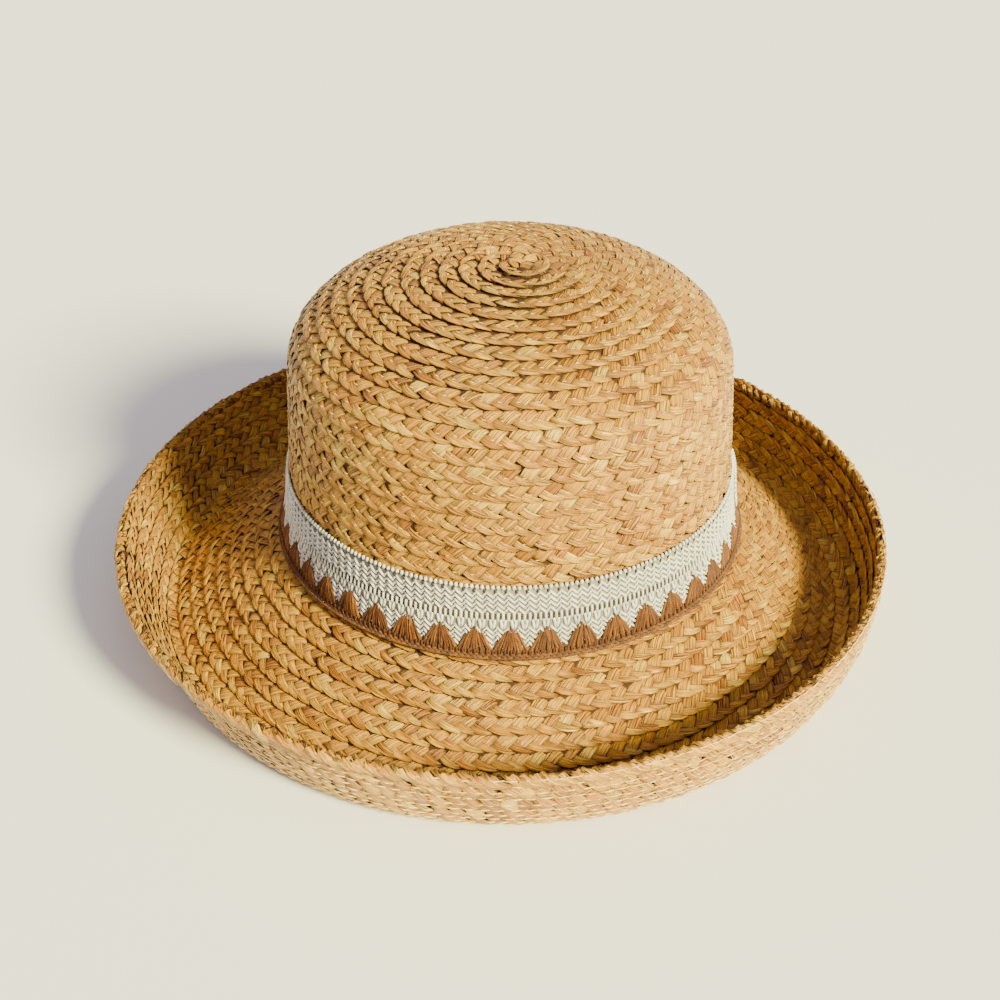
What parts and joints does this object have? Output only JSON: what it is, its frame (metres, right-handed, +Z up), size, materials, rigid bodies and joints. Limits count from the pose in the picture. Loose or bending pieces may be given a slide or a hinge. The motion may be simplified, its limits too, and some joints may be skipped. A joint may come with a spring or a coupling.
{
  "type": "raffia hat with a rolled brim",
  "caption": "Sewn raffia-braid hat with a domed crown, a wide brim rolled up at its edge, and a woven tape band with a scalloped trim.",
  "frame": {"origin": "on the surface that the hat rests on, under the centre of its rim", "axes": "+Z up through the crown; the viewer of the picture stands at -Y, with +X to the right"},
  "size_m": [0.3341, 0.3341, 0.1562],
  "materials": {
    "raffia": "matte natural raffia braid with a soft sheen on each strand",
    "tape": "matte off-white woven cotton",
    "trim_yarn": "matte brown cotton yarn"
  },
  "bodies": {
    "root": {"crown": "raffia", "brim": "raffia", "brim_roll": "raffia", "band": "tape", "band_lap": "tape", "scallop_trim": "trim_yarn"}
  },
  "joints": []
}
